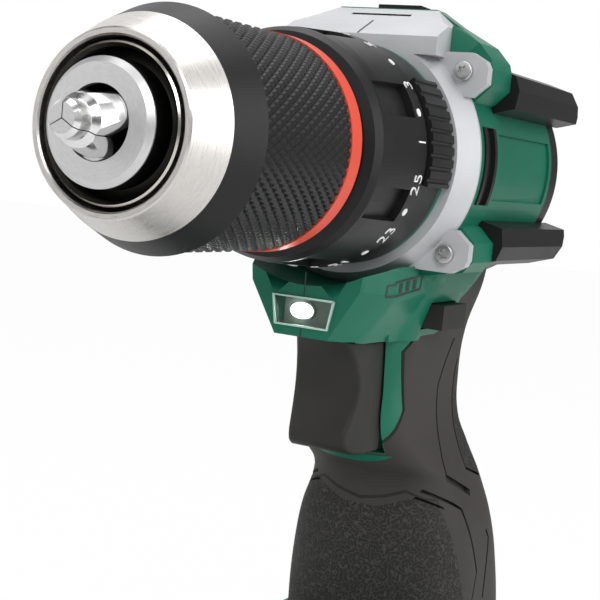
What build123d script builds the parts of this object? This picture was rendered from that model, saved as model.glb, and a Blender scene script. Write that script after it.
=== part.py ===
from build123d import *
import os
from math import cos, pi, radians, sin, tan

# Cordless hammer drill with a three-jaw keyless chuck and a slide-on battery pack.
# Millimetres. +Z is up, the chuck points along -Y, and +X is the drill's left side.
# The origin lies on the surface that the pack stands on, under the middle of the pack.

os.makedirs("parts", exist_ok=True)

# ---------------------------------------------------------------- driving sizes
axis_z = 185.0            # height of the chuck axis above the base of the pack
case_face = -40.1         # front plane of the cast gear case
run_gap = 0.3             # running gap between pieces that turn or slide
seat_gap = 0.05           # gap between a skin and what it is moulded over
bore_fit = 0.1            # radial clearance of a jaw in its bore
shaft_fit = 0.05          # radial clearance of a shaft in its bush

# lengths of the nose train, counted forward from the gear case
mode_len = 12.4           # mode ring
collar_len = 21.6         # torque collar
chuck_gap = 2.2           # shadow gap between chuck and torque collar
red_len = 4.8             # red ring
sleeve_len = 33.0         # knurled sleeve
band_len = 7.35           # smooth dark cone
cone_len = 7.65           # brushed silver cone
nose_out = 3.5            # nose disc in front of the silver cone
tip_out = 9.1             # jaw tips in front of the nose disc

# radii of the nose train
ring_hole_r = 14.57
ring_edge_r = 16.0
cone_r = 19.4
band_r = 22.0
sleeve_r = 21.4
sleeve_bore_r = 19.2
red_r = 21.5
body_r = 17.2             # chuck body under the sleeve
hood_r = 13.9             # chuck body behind the nose
nose_r = 10.85
mouth_r = 6.4             # opening that the jaws come out of
mouth_len = 12.0
throat_r = 5.2
thread_r = 6.35           # spindle thread, 1/2-20
screw_r = 3.0
screw_head_r = 4.7

# jaws
jaw_r = 3.85
jaw_len = 31.0
jaw_lean = 16.0
jaw_tip_in = 0.28
jaw_cut = 0.1
jaw_angles = (30, 150, 270)
jaw_travel = 21.0

# torque collar, mode ring, clutch
collar_front_r = 20.6
collar_mid_r = 24.0
collar_r = 25.0
collar_bore_r = 21.5
collar_lip_r = 16.4
pocket_count = 7
pocket_first = 27.6
pocket_span = 17.2
pocket_depth = 0.9
mode_r = 24.4
mode_bore_r = 20.8
grip_r = 26.0
grip_from = -12.5
grip_to = 39.7
rib_count = 9
rib_groove_r = 0.5
nut_len = 5.0

# gear case
face_r = 26.4
flange_r = 29.0
flange_len = 7.1
flange_lip = 0.8
case_wall = 5.1
case_r = 24.6
case_len = 34.0
tube_r = 15.5
tube_len = 33.6
bush_r = 11.0
bush_len = 14.0
shaft_r = 7.0
boss_r = 20.5
boss_len = 3.6
boss_bore_r = 19.6
ear_face = 5.1            # ear plane behind the front plane
ear_screw_x = 24.0
ear_screw_z = 19.8
ear_screw_r = 2.1
hump_half = 19.0
hump_top = 33.8
hump_rise = 27.0
hump_len = 15.1

# planetary gears
module_ = 0.9
sun_teeth = 12
planet_teeth = 15
ring_teeth = 42
ring_rim_r = 21.7
case_bore_r = 22.0
planet_len = 7.2
plate_len = 2.0
flange_plate_len = 3.0
gear_gap = 0.5
pin_r = 2.0
shift_travel = 4.0

# motor
motor_front = -5.0
stator_len = 21.0
stator_r = 24.4
stator_bore_r = 13.2
rotor_r = 12.8
motor_shaft_r = 2.5
fan_len = 5.0
fan_r = 21.0

# housing
barrel_r = 28.6
barrel_end = 19.0
housing_bore_r = 24.9
cap_len = 7.0
cap_wall = 1.4
bearing_r = 6.5
shoulder_end = -20.0
roof_z = 34.0
wall = 2.2
skin = 2.0                # rubber over the handle

# trigger
trigger_travel = 5.5
trigger_half = 9.3
trigger_nose_half = 7.0
trigger_fit = 0.4

# selector
selector_travel = 3.0
selector_half = 17.4 + selector_travel

# foot and pack
foot_top = 65.5
foot_base = 54.0
foot_edge = 6.5           # upright edge of the foot
rubber_end = 68.5
pack_half_x = 37.0
pack_half_y = 52.0
pack_wall = 2.4
pack_split = 41.0
foot_half_x = 35.0
rail_half = 19.0
rail_flange = 3.5
rail_neck = 3.0
rail_top = 61.0
rail_back = 34.0
cell_r = 9.2
cell_len = 65.0
latch_travel = 3.0
latch_low = 37.0
latch_floor = latch_low - latch_travel - 2.0

# ---------------------------------------------------------------- derived stations
mode_front = case_face - run_gap - mode_len
collar_front = mode_front - run_gap - collar_len
red_back = collar_front - chuck_gap
red_front = red_back - red_len
sleeve_front = red_front - sleeve_len
band_front = sleeve_front - band_len
ring_front = band_front - cone_len
nose_front = ring_front - nose_out
tip_front = nose_front - tip_out
ear_front = case_face + ear_face
rim = case_face + flange_len
housing_front = rim + flange_lip
case_back = case_face + case_len
cavity_front = case_face + case_wall
tube_front = case_face - tube_len
cap_end = barrel_end + cap_len
hump_back = case_face + hump_len

side = Plane(origin=(0, 0, axis_z), x_dir=(0, 1, 0), z_dir=(1, 0, 0))
spin = Axis((0, 0, axis_z), (0, 1, 0))
parts = {}


def across(y):
    """Plane square to the chuck axis, looking forward: local x is X, local y is height."""
    return Plane(origin=(0, y, axis_z), x_dir=(1, 0, 0), z_dir=(0, -1, 0))


def turn(points, mode=Mode.ADD):
    """Revolve a closed outline of (y, radius) about the chuck axis."""
    with BuildSketch(side) as outline:
        with BuildLine():
            Polyline(*points, close=True)
        make_face()
    revolve(outline.sketch, axis=spin, mode=mode)


def tube(y0, y1, outer, inner, mode=Mode.ADD):
    """Plain ring about the chuck axis."""
    turn([(y0, inner), (y0, outer), (y1, outer), (y1, inner)], mode)


def bar(y0, y1, radius, x=0, z=0, mode=Mode.ADD):
    """Round bar along Y at (x, z) from the chuck axis."""
    with BuildSketch(across(y0)) as disc:
        with Locations((x, z)):
            Circle(radius)
    extrude(disc.sketch, amount=y0 - y1, mode=mode)


def slab(y0, y1, points, mode=Mode.ADD):
    """Polygon of (x, z) from the chuck axis, drawn out along Y."""
    with BuildSketch(across(y0)) as outline:
        with BuildLine():
            Polyline(*points, close=True)
        make_face()
    extrude(outline.sketch, amount=y0 - y1, mode=mode)


def flank(half, points, mode=Mode.ADD):
    """Side-view polygon of (y, z from the chuck axis), drawn out both ways along X."""
    with BuildSketch(side) as outline:
        with BuildLine():
            Polyline(*points, close=True)
        make_face()
    extrude(outline.sketch, amount=half, both=True, mode=mode)


def block(x0, x1, y0, y1, z0, z1, mode=Mode.ADD):
    """Box between corners, heights counted from the base."""
    with BuildSketch(Plane.XY.offset(z0)) as rect:
        with Locations(((x0 + x1) / 2, (y0 + y1) / 2)):
            Rectangle(x1 - x0, y1 - y0)
    extrude(rect.sketch, amount=z1 - z0, mode=mode)


def mirrored(points):
    """Right-hand half outline closed by its mirror image about X = 0."""
    return list(points) + [(-x, z) for x, z in reversed(points) if x > 0]


def save(builder, name):
    builder.part.label = name
    export_step(builder.part, f"parts/{name}.step")
    parts[name] = builder.part


# ---------------------------------------------------------------- chuck
# Body: nose disc, hood and thick barrel with three leaning bores.
web_back = nose_front + 50.0
web_front = web_back - 1.8


def jaw_plane(angle, along=0.0):
    """Plane square to one jaw, its origin a given way along the jaw from the tip."""
    out = along * sin(radians(jaw_lean)) - jaw_tip_in
    y = tip_front + along * cos(radians(jaw_lean))
    c, s = cos(radians(angle)), sin(radians(angle))
    lean = sin(radians(jaw_lean))
    return Plane(
        origin=(out * c, y, axis_z + out * s),
        x_dir=(-s, 0, c),
        z_dir=(lean * c, cos(radians(jaw_lean)), lean * s),
    )


with BuildPart() as chuck_body:
    turn([
        (nose_front, 0), (nose_front, nose_r - 1.0), (nose_front + 1.0, nose_r),
        (ring_front + 2.5, nose_r), (ring_front + 4.2, hood_r),
        (band_front + 0.35, hood_r), (band_front + 0.35, body_r),
        (red_front - 4.0, body_r), (red_front - 4.0, sleeve_bore_r - run_gap),
        (red_back - 0.6, sleeve_bore_r - run_gap), (red_back - 0.6, 0),
    ])
    # groove for the nut
    tube(sleeve_front - 0.4, sleeve_front + 6.4, body_r + 1, 11.2, mode=Mode.SUBTRACT)
    bar(nose_front, nose_front + mouth_len, mouth_r, mode=Mode.SUBTRACT)
    bar(nose_front, web_front, throat_r, mode=Mode.SUBTRACT)
    bar(web_front, web_back, screw_r + 0.1, mode=Mode.SUBTRACT)
    bar(web_back, red_back, thread_r, mode=Mode.SUBTRACT)
    for angle in jaw_angles:
        with BuildSketch(jaw_plane(angle)) as bore:
            Circle(jaw_r + bore_fit)
        extrude(bore.sketch, amount=jaw_len + jaw_travel + 1.0, mode=Mode.SUBTRACT)
save(chuck_body, "chuck_body")

# Bright ring pressed round the hood behind the nose.
with BuildPart() as chuck_nose_ring:
    turn([
        (ring_front + 0.9, nose_r + 1.9), (ring_front + 0.2, nose_r + 2.5),
        (ring_front + 0.5, hood_r - 0.2), (ring_front + 2.4, hood_r + 0.1),
        (ring_front + 4.1, hood_r + 0.1), (ring_front + 4.1, hood_r),
        (ring_front + 3.2, nose_r + 1.9),
    ])
save(chuck_nose_ring, "chuck_nose_ring")

# Left-hand screw that locks the chuck on the spindle.
with BuildPart() as chuck_screw:
    bar(web_front - 3.4, web_front, screw_head_r)
    bar(web_front - 3.4, web_front - 1.4, 2.2, mode=Mode.SUBTRACT)
    bar(web_front, web_back + 12.0, screw_r)
save(chuck_screw, "chuck_screw")

# Jaws: leaning rods with a 120-degree wedge of gripping faces and a stepped tip.
for number, angle in enumerate(jaw_angles, start=1):
    with BuildPart() as chuck_jaw:
        with BuildSketch(jaw_plane(angle, -4.0)) as rod:
            Circle(jaw_r)
        extrude(rod.sketch, amount=jaw_len + 4.0)
        a, b = radians(angle - 60), radians(angle + 60)
        c, s = jaw_cut * cos(radians(angle)), jaw_cut * sin(radians(angle))
        with BuildSketch(across(tip_front - 1)) as wedge:
            with BuildLine():
                Polyline(
                    (c, s), (c + 40 * cos(a), s + 40 * sin(a)),
                    (c + 60 * cos(radians(angle)), s + 60 * sin(radians(angle))),
                    (c + 40 * cos(b), s + 40 * sin(b)), close=True,
                )
            make_face()
        extrude(wedge.sketch, amount=-60, mode=Mode.INTERSECT)
        turn([
            (tip_front, 0), (tip_front, 2.5), (tip_front + 0.9, 3.2),
            (tip_front + 3.3, 3.4), (tip_front + 4.3, 4.5), (tip_front + 9.0, 6.0),
            (tip_front + 12.0, 30), (tip_front + 60, 30), (tip_front + 60, 0),
        ], mode=Mode.INTERSECT)
    save(chuck_jaw, f"chuck_jaw_{number}")

# Split nut that drives the jaws, pressed into the sleeve.
nut_lean = tan(radians(jaw_lean))
nut_front_r = (sleeve_front - tip_front) * nut_lean - jaw_tip_in + jaw_r / cos(radians(jaw_lean)) + 0.35
with BuildPart() as chuck_nut:
    turn([
        (sleeve_front, nut_front_r), (sleeve_front, sleeve_bore_r),
        (sleeve_front + 6.0, sleeve_bore_r), (sleeve_front + 6.0, nut_front_r + 6.0 * nut_lean),
    ])
save(chuck_nut, "chuck_nut")

# Outer sleeve in four turned pieces.
with BuildPart() as chuck_front_ring:
    turn([
        (ring_front + 0.3, ring_hole_r), (ring_front, ring_hole_r + 0.3),
        (ring_front, ring_edge_r - 0.3), (ring_front + 0.3, ring_edge_r),
        (band_front, cone_r), (band_front, ring_hole_r),
    ])
save(chuck_front_ring, "chuck_front_ring")

with BuildPart() as chuck_band:
    turn([
        (band_front, body_r + 0.6), (band_front, cone_r),
        (sleeve_front - 0.5, band_r), (sleeve_front, band_r - 0.3),
        (sleeve_front, body_r + 0.6),
    ])
save(chuck_band, "chuck_band")

with BuildPart() as chuck_sleeve:
    tube(sleeve_front, red_front, sleeve_r, sleeve_bore_r)
save(chuck_sleeve, "chuck_sleeve")

with BuildPart() as chuck_red_ring:
    turn([
        (red_front, sleeve_bore_r), (red_front, red_r), (red_back - 0.5, red_r),
        (red_back, red_r - 0.5), (red_back, sleeve_bore_r),
    ])
save(chuck_red_ring, "chuck_red_ring")

# ---------------------------------------------------------------- gear train
sun_pitch_r = module_ * sun_teeth / 2
planet_pitch_r = module_ * planet_teeth / 2
orbit_r = sun_pitch_r + planet_pitch_r
planet_angles = (90, 210, 330)

plate2_back = cavity_front + shift_travel + 1.5 + flange_plate_len
planet2_front = plate2_back + run_gap
planet2_back = planet2_front + planet_len
plate1_front = planet2_back + gear_gap
plate1_back = plate1_front + plate_len
planet1_front = plate1_back + run_gap
planet1_back = planet1_front + planet_len


def toothed(y0, y1, teeth, addendum, dedendum, phase, x=0.0, z=0.0, mode=Mode.ADD):
    """Spur gear along Y with straight-sided teeth; phase is the angle of one tooth."""
    pitch_r = module_ * teeth / 2
    step = 360 / teeth
    points = []
    for index in range(teeth):
        centre = phase + index * step
        for offset, radius in (
            (-0.32, pitch_r - dedendum), (-0.12, pitch_r + addendum),
            (0.12, pitch_r + addendum), (0.32, pitch_r - dedendum),
        ):
            angle = radians(centre + offset * step)
            points.append((x + radius * cos(angle), z + radius * sin(angle)))
    slab(y0, y1, points, mode)


def planet(y0, y1, angle):
    """Planet gear on its pin, with a tooth pointing straight out."""
    x, z = orbit_r * cos(radians(angle)), orbit_r * sin(radians(angle))
    toothed(y0, y1, planet_teeth, 0.62, 0.85, angle, x, z)
    bar(y0, y1, pin_r + shaft_fit + 0.05, x, z, mode=Mode.SUBTRACT)


with BuildPart() as spindle:
    bar(web_back, tube_front + 2, thread_r - 0.02)
    bar(tube_front + 2, cavity_front + 0.4, shaft_r)
    bar(cavity_front + 0.4, plate2_back, orbit_r + pin_r + 1.5)
    for angle in planet_angles:
        bar(plate2_back, planet2_back, pin_r, orbit_r * cos(radians(angle)), orbit_r * sin(radians(angle)))
    bar(web_back, web_back + 12.6, screw_r, mode=Mode.SUBTRACT)
save(spindle, "spindle")

for number, angle in enumerate(planet_angles, start=1):
    with BuildPart() as planet_gear:
        planet(planet2_front, planet2_back, angle)
    save(planet_gear, f"planet_2_{number}")

with BuildPart() as carrier_1:
    bar(plate1_front, plate1_back, orbit_r + pin_r + 1.5)
    toothed(planet2_front, plate1_front, sun_teeth, 0.62, 0.85, 90)
    for angle in planet_angles:
        bar(plate1_back, planet1_back, pin_r, orbit_r * cos(radians(angle)), orbit_r * sin(radians(angle)))
save(carrier_1, "carrier_1")

for number, angle in enumerate(planet_angles, start=1):
    with BuildPart() as planet_gear:
        planet(planet1_front, planet1_back, angle)
    save(planet_gear, f"planet_1_{number}")

with BuildPart() as ring_gear_1:
    bar(planet1_front, planet1_back, case_bore_r)
    toothed(planet1_front, planet1_back, ring_teeth, 0.85, 0.62, 90, mode=Mode.SUBTRACT)
save(ring_gear_1, "ring_gear_1")

with BuildPart() as ring_gear_2:
    bar(planet2_front, planet2_back, ring_rim_r)
    toothed(planet2_front, planet2_back, ring_teeth, 0.85, 0.62, 90, mode=Mode.SUBTRACT)
save(ring_gear_2, "ring_gear_2")

# ---------------------------------------------------------------- motor
with BuildPart() as motor_rotor:
    bar(motor_front + 2, motor_front + stator_len - 2, rotor_r)
    bar(planet1_front + 0.6, cap_end - 1.6, motor_shaft_r)
    toothed(planet1_front + 0.6, planet1_back, sun_teeth, 0.62, 0.85, 90)
save(motor_rotor, "motor_rotor")

with BuildPart() as motor_stator:
    tube(motor_front, motor_front + stator_len, stator_r, stator_bore_r)
save(motor_stator, "motor_stator")

with BuildPart() as motor_plate:
    tube(case_back, motor_front, case_bore_r, motor_shaft_r + shaft_fit)
save(motor_plate, "motor_plate")

fan_front = motor_front + stator_len + 0.8
with BuildPart() as motor_fan:
    tube(fan_front, fan_front + 1.4, fan_r, motor_shaft_r)
    for index in range(9):
        with BuildSketch(across(fan_front + 1.4)) as blade:
            with PolarLocations(fan_r * 0.62, 1, start_angle=index * 40):
                Rectangle(fan_r * 0.7, 1.4, rotation=25)
        extrude(blade.sketch, amount=-(fan_len - 1.4))
save(motor_fan, "motor_fan")

with BuildPart() as rear_bearing:
    tube(cap_end - cap_wall - 2.4, cap_end - cap_wall, bearing_r, motor_shaft_r + shaft_fit)
save(rear_bearing, "rear_bearing")

# ---------------------------------------------------------------- gear case
ear = [
    (14.0, 21.0), (15.9, 23.8), (25.5, 23.9), (28.6, 22.2),
    (29.3, 20.8), (29.3, 17.4), (25.9, 14.4), (20.0, 14.4),
]
fork_half = 3.0
slider_half = 7.0
slider_low = 30.4
slider_high = 32.0
fork_y = planet2_front + 2.0

with BuildPart() as gear_case:
    turn([
        (case_face, boss_r), (case_face, face_r), (rim, flange_r), (housing_front, flange_r),
        (housing_front, case_r), (case_back, case_r), (case_back, case_bore_r),
        (cavity_front, case_bore_r), (cavity_front, shaft_r + 0.4), (tube_front + bush_len, shaft_r + 0.4),
        (tube_front + bush_len, bush_r), (tube_front, bush_r), (tube_front, tube_r),
        (case_face, tube_r), (case_face, boss_bore_r), (case_face - boss_len, boss_bore_r),
        (case_face - boss_len, boss_r),
    ])
    for sx in (1, -1):
        for sz in (1, -1):
            slab(ear_front, housing_front, [(sx * x, sz * z) for x, z in ear])
    flank(hump_half, [
        (case_face, 22.5), (case_face, hump_rise - 0.6), (case_face + 1.0, hump_rise),
        (hump_back, hump_top), (hump_back, 22.5),
    ])
    # corner facets of the hump
    for sx in (1, -1):
        slab(case_face - 1, hump_back + 1, [
            (sx * 9.5, 36.0), (sx * (hump_half + 1), 36.0), (sx * (hump_half + 1), 28.6), (sx * 16.5, 30.6),
        ], mode=Mode.SUBTRACT)
    # passage of the shift fork and its slide
    block(-fork_half - 0.5, fork_half + 0.5, fork_y - shift_travel - 0.5, fork_y + 2.5,
          axis_z + 18, axis_z + slider_high + 0.3, mode=Mode.SUBTRACT)
    block(-slider_half - 0.4, slider_half + 0.4, fork_y - shift_travel - 1.0, hump_back + 1,
          axis_z + slider_low - 0.3, axis_z + slider_high + 0.3, mode=Mode.SUBTRACT)
    bar(cavity_front, case_back, case_bore_r, mode=Mode.SUBTRACT)
save(gear_case, "gear_case")

with BuildPart() as gear_case_screws:
    for sx in (1, -1):
        for sz in (1, -1):
            bar(ear_front - 1.4, ear_front, ear_screw_r, sx * ear_screw_x, sz * ear_screw_z)
save(gear_case_screws, "gear_case_screws")

with BuildPart() as spindle_bush:
    tube(tube_front + 0.2, tube_front + bush_len, bush_r, shaft_r + shaft_fit)
save(spindle_bush, "spindle_bush")

# ---------------------------------------------------------------- clutch, collar, mode ring
nut_back = tube_front + 10.0
with BuildPart() as clutch_nut:
    tube(nut_back - nut_len, nut_back, collar_bore_r, tube_r + run_gap)
save(clutch_nut, "clutch_nut")

with BuildPart() as clutch_spring:
    wire_r = 0.9
    coil_r = tube_r + run_gap + wire_r + 0.6
    coil_len = case_face - nut_back - 2 * wire_r - 0.4
    with BuildLine() as coil:
        Helix(pitch=coil_len / 3, height=coil_len, radius=coil_r,
              center=(0, nut_back + wire_r + 0.35, axis_z), direction=(0, 1, 0))
    with BuildSketch(Plane(origin=coil.line @ 0, z_dir=coil.line % 0)) as wire:
        Circle(wire_r)
    sweep(wire.sketch, path=coil.line)
save(clutch_spring, "clutch_spring")

with BuildPart() as torque_collar:
    turn([
        (collar_front, collar_lip_r), (collar_front, collar_front_r), (collar_front + 0.8, collar_front_r + 2.0),
        (collar_front + 2.6, collar_front_r + 3.0), (collar_front + 6.0, collar_mid_r),
        (mode_front - run_gap - 0.4, collar_r), (mode_front - run_gap, collar_r - 0.4),
        (mode_front - run_gap, collar_bore_r), (collar_front + 2.0, collar_bore_r),
        (collar_front + 2.0, collar_lip_r),
    ])
    for index in range(pocket_count):
        centre = pocket_first + index * 360 / pocket_count
        with BuildSketch(across(collar_front + 3.4)) as pocket:
            with BuildLine():
                Polyline(*[
                    (radius * cos(radians(centre + turn_by)), radius * sin(radians(centre + turn_by)))
                    for radius, turn_by in (
                        (collar_mid_r - pocket_depth, -pocket_span / 2),
                        (30, -pocket_span / 2), (30, pocket_span / 2),
                        (collar_mid_r - pocket_depth, pocket_span / 2),
                        ((collar_mid_r - pocket_depth) / cos(radians(pocket_span / 4)), 0),
                    )
                ], close=True)
            make_face()
        extrude(pocket.sketch, amount=-(collar_len - 7.8), mode=Mode.SUBTRACT)
save(torque_collar, "torque_collar")

with BuildPart() as mode_ring:
    tube(mode_front, case_face - run_gap, mode_r, mode_bore_r)
save(mode_ring, "mode_ring")

with BuildPart() as mode_grip:
    with BuildSketch(across(mode_front + 0.3)) as sector:
        arc_from, arc_to = grip_from, grip_to
        with BuildLine():
            CenterArc((0, 0), grip_r, arc_from, arc_to - arc_from)
            CenterArc((0, 0), mode_r, arc_from, arc_to - arc_from)
            for end in (arc_from, arc_to):
                Line((mode_r * cos(radians(end)), mode_r * sin(radians(end))),
                     (grip_r * cos(radians(end)), grip_r * sin(radians(end))))
        make_face()
    extrude(sector.sketch, amount=-(mode_len - 0.6))
    # finger grooves
    for index in range(rib_count):
        angle = grip_from + (index + 0.5) * (grip_to - grip_from) / rib_count
        bar(mode_front, case_face, rib_groove_r, grip_r * cos(radians(angle)), grip_r * sin(radians(angle)),
            mode=Mode.SUBTRACT)
save(mode_grip, "mode_grip")

# ---------------------------------------------------------------- speed selector on the roof
knob_front = shoulder_end + 1.0
knob_back = knob_front + 9.0
knob_top = roof_z + 1.6
with BuildPart() as speed_slider:
    block(-slider_half, slider_half, fork_y - 0.5, knob_back + 3.0, axis_z + slider_low, axis_z + slider_high)
    block(-5.4, 5.4, knob_front, knob_back, axis_z + slider_high, axis_z + knob_top)
    for index in range(4):
        block(-6, 6, knob_front + 1.3 + index * 2.0, knob_front + 2.1 + index * 2.0,
              axis_z + knob_top - 0.6, axis_z + knob_top + 1, mode=Mode.SUBTRACT)
save(speed_slider, "speed_slider")

with BuildPart() as shift_fork:
    block(-fork_half, fork_half, fork_y, fork_y + 1.6, axis_z + ring_rim_r - 0.3, axis_z + slider_low)
    bar(fork_y - 1, fork_y + 3, ring_rim_r, mode=Mode.SUBTRACT)
save(shift_fork, "shift_fork")


# ---------------------------------------------------------------- handle sections
# Height from the chuck axis, half width, half depth, middle; rounded like a soft rectangle.
grip_sections = (
    (-18.0, 19.0, 25.5, -7.8),
    (-28.0, 18.6, 26.0, -7.6),
    (-40.0, 14.8, 26.5, -6.0),
    (-52.0, 13.2, 26.0, -5.0),
    (-62.0, 13.4, 23.5, -1.5),
    (-70.0, 15.2, 21.0, 5.0),
    (-79.0, 19.0, 21.8, 8.4),
    (-92.0, 22.5, 25.0, 11.0),
    (-106.0, 23.8, 27.5, 13.6),
    (-117.0, 24.2, 28.5, 16.2),
)
green_edge = [
    (4.4, -24.5), (-5.8, -31.7), (-8.0, -38.6), (-26.5, -43.5),
    (-23.4, -57.5), (-26.0, -63.8), (-30.0, -67.4),
]
lip_bottom = -67.8
groove = 1.0


def handle(inset, mode=Mode.ADD):
    """Loft of the handle's outline, set in by a wall or a skin."""
    with BuildPart(mode=Mode.PRIVATE) as grip:
        for height, half_w, half_d, middle in grip_sections:
            with BuildSketch(Plane.XY.offset(axis_z + height)):
                with Locations((0, middle)):
                    RectangleRounded(2 * (half_w - inset), 2 * (half_d - inset), 0.68 * (half_w - inset))
        loft()
    add(grip.part, mode=mode)


def front_zone(shift, mode):
    """Everything in front of the line where the rubber of the handle begins."""
    edge = [(y + shift, z) for y, z in green_edge]
    flank(40, [(-70, -5), (edge[0][0], -5)] + edge + [(-38, lip_bottom), (-70, lip_bottom)], mode)


# LED nose and shoulder under the gear case
lamp_front = case_face - 13.4
shoulder_sections = (
    (lamp_front, [(12.0, -20.0), (13.4, -26.0), (13.0, -29.3), (6.4, -40.3)]),
    (lamp_front + 9.5, [(15.5, -18.0), (17.4, -24.0), (17.0, -30.0), (10.5, -41.0)]),
    (1.0, [(17.6, -16.0), (17.6, -24.0), (17.0, -29.0), (14.0, -41.0)]),
)
lamp_window = [(7.25, -31.95), (6.25, -37.85)]
trigger_top = -41.0
trigger_bottom = -66.0

shoulder_outline = mirrored([
    (12.0, roof_z), (17.5, 30.6), (25.6, 26.4), (28.8, 23.0), (29.4, 21.0), (29.4, 17.0),
    (26.2, 13.8), (20.0, 10.0), (20.0, -10.0), (26.2, -13.8), (29.4, -17.0), (29.4, -21.2),
    (27.4, -23.6), (17.0, -25.5),
])

insert_front = housing_front + 2.9
insert_len = 7.5
insert_half = 8.6
insert_depth = 1.6
panel_front = shoulder_end + 0.6
panel_back = barrel_end - 2.0
panel_half = 7.5
panel_depth = 0.6

boss_r_in = 1.3
boss_r_out = 3.6
screw_points = (
    # y, height from the axis, half length of the boss
    (-38.5, -35.4, 9.0), (12.5, -36.5, 9.6), (17.0, -70.0, 10.2),
    (29.0, -104.0, 17.0), (41.5, -124.0, 24.0),
)

with BuildPart() as shell:
    bar(housing_front, barrel_end, barrel_r)
    slab(housing_front, shoulder_end, shoulder_outline)
    # roof that runs down to the barrel
    with BuildPart(mode=Mode.PRIVATE) as roof:
        for y, points in (
            (shoulder_end, [(12.0, roof_z), (17.5, 30.6), (22.0, 16.0)]),
            (14.0, [(8.0, 28.9), (12.0, 26.4), (20.0, 16.0)]),
        ):
            with BuildSketch(across(y)):
                with BuildLine():
                    Polyline(*mirrored(points), close=True)
                make_face()
        loft(ruled=True)
    add(roof.part)
    # shoulder and LED nose
    with BuildPart(mode=Mode.PRIVATE) as nose:
        for y, points in shoulder_sections:
            with BuildSketch(across(y)):
                with BuildLine():
                    Polyline(*mirrored(points), close=True)
                make_face()
        loft(ruled=True)
        front_zone(0, Mode.INTERSECT)
    add(nose.part)
    handle(skin)
    # flush front of the handle and the lip round the trigger
    with BuildPart(mode=Mode.PRIVATE) as front:
        handle(0)
        flank(12.2, [(-34.0, -38.0), (-32.0, -60.0), (-34.0, -66.0), (-34.0, lip_bottom),
                     (-14.0, lip_bottom), (-10.0, -38.0)])
        front_zone(0, Mode.INTERSECT)
    add(front.part)
    # foot: flare and flat plate
    with BuildPart(mode=Mode.PRIVATE) as foot:
        with BuildSketch(Plane.XY.offset(foot_base)):
            RectangleRounded(2 * foot_half_x, 2 * pack_half_y - 6, 12.0)
        extrude(amount=foot_edge)
        with BuildSketch(Plane.XY.offset(foot_base + foot_edge)):
            RectangleRounded(2 * foot_half_x, 2 * pack_half_y - 6, 12.0)
        with BuildSketch(Plane.XY.offset(foot_top)):
            with Locations((0, 8.0)):
                RectangleRounded(2 * foot_half_x - 16, 2 * pack_half_y - 30, 14.0)
        loft(ruled=True)
        with BuildSketch(Plane.XY.offset(foot_top)):
            with Locations((0, 8.0)):
                RectangleRounded(2 * foot_half_x - 16, 2 * pack_half_y - 30, 14.0)
        with BuildSketch(Plane.XY.offset(rubber_end)):
            with Locations((0, 16.2)):
                RectangleRounded(48.0, 56.6, 15.0)
        loft(ruled=True)
    add(foot.part)
    # room for the gear case, its hump and the nose pieces
    bar(lamp_front - 5, housing_front, flange_r + seat_gap, mode=Mode.SUBTRACT)
    bar(housing_front - 1, barrel_end + 1, housing_bore_r, mode=Mode.SUBTRACT)
    flank(hump_half + seat_gap, [
        (housing_front - 1, 20.0), (housing_front - 1, 40.0), (hump_back + seat_gap, 40.0),
        (hump_back + seat_gap, 20.0),
    ], mode=Mode.SUBTRACT)
    block(-slider_half - 0.4, slider_half + 0.4, hump_back - 1, knob_back + 3.6,
          axis_z + 20, axis_z + slider_high + 0.3, mode=Mode.SUBTRACT)
    block(-5.8, 5.8, knob_front - shift_travel - 0.5, knob_back + 0.5,
          axis_z + 28, axis_z + roof_z + 3, mode=Mode.SUBTRACT)
    # lamp chamber and its window
    slab(lamp_front - 1, lamp_front + 4, mirrored(lamp_window), mode=Mode.SUBTRACT)
    block(-6.0, 6.0, lamp_front + 2.4, lamp_front + 9.5, axis_z - 38.3, axis_z - 31.0, mode=Mode.SUBTRACT)
    # hollow handle and foot
    with BuildPart(mode=Mode.PRIVATE) as hollow:
        handle(skin + wall)
        block(-60, 60, -60, 60, axis_z - 117, axis_z - 33.5, mode=Mode.INTERSECT)
    add(hollow.part, mode=Mode.SUBTRACT)
    block(-19.0, 19.0, -4.0, 34.0, rail_top + 2.2, rubber_end + 4, mode=Mode.SUBTRACT)
    # trigger opening
    block(-trigger_half - trigger_fit, trigger_half + trigger_fit, -60, -12,
          axis_z + trigger_bottom - trigger_fit, axis_z + trigger_top + trigger_fit, mode=Mode.SUBTRACT)
    # screw bosses
    for y, z, length in screw_points[:4]:
        with BuildSketch(side) as pad:
            with Locations((y, z)):
                Circle(boss_r_out)
        extrude(pad.sketch, amount=length, both=True)
    for y, z, length in screw_points:
        with BuildSketch(side) as pad:
            with Locations((y, z)):
                Circle(boss_r_in + 0.05)
        extrude(pad.sketch, amount=length - 2, both=True, mode=Mode.SUBTRACT)
        with BuildSketch(side.offset(-length + 2)) as pad:
            with Locations((y, z)):
                Circle(2.7)
        extrude(pad.sketch, amount=-40, mode=Mode.SUBTRACT)
    # slot for the forward and reverse selector
    flank(60, [(-23.3, -38.4), (-23.3, -31.9), (-8.4, -31.9), (-8.4, -38.4)], mode=Mode.SUBTRACT)
    # slideway of the pack
    block(-rail_half + rail_neck - 0.4, rail_half - rail_neck + 0.4, -80, rail_back,
          foot_base - 1, foot_base + rail_flange, mode=Mode.SUBTRACT)
    block(-rail_half - 0.4, rail_half + 0.4, -80, rail_back,
          foot_base + rail_flange - 0.6, rail_top + 0.4, mode=Mode.SUBTRACT)
    block(-8.5, 8.5, -80, -pack_half_y + 8.6, foot_base - 1, foot_base + 3, mode=Mode.SUBTRACT)
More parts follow.
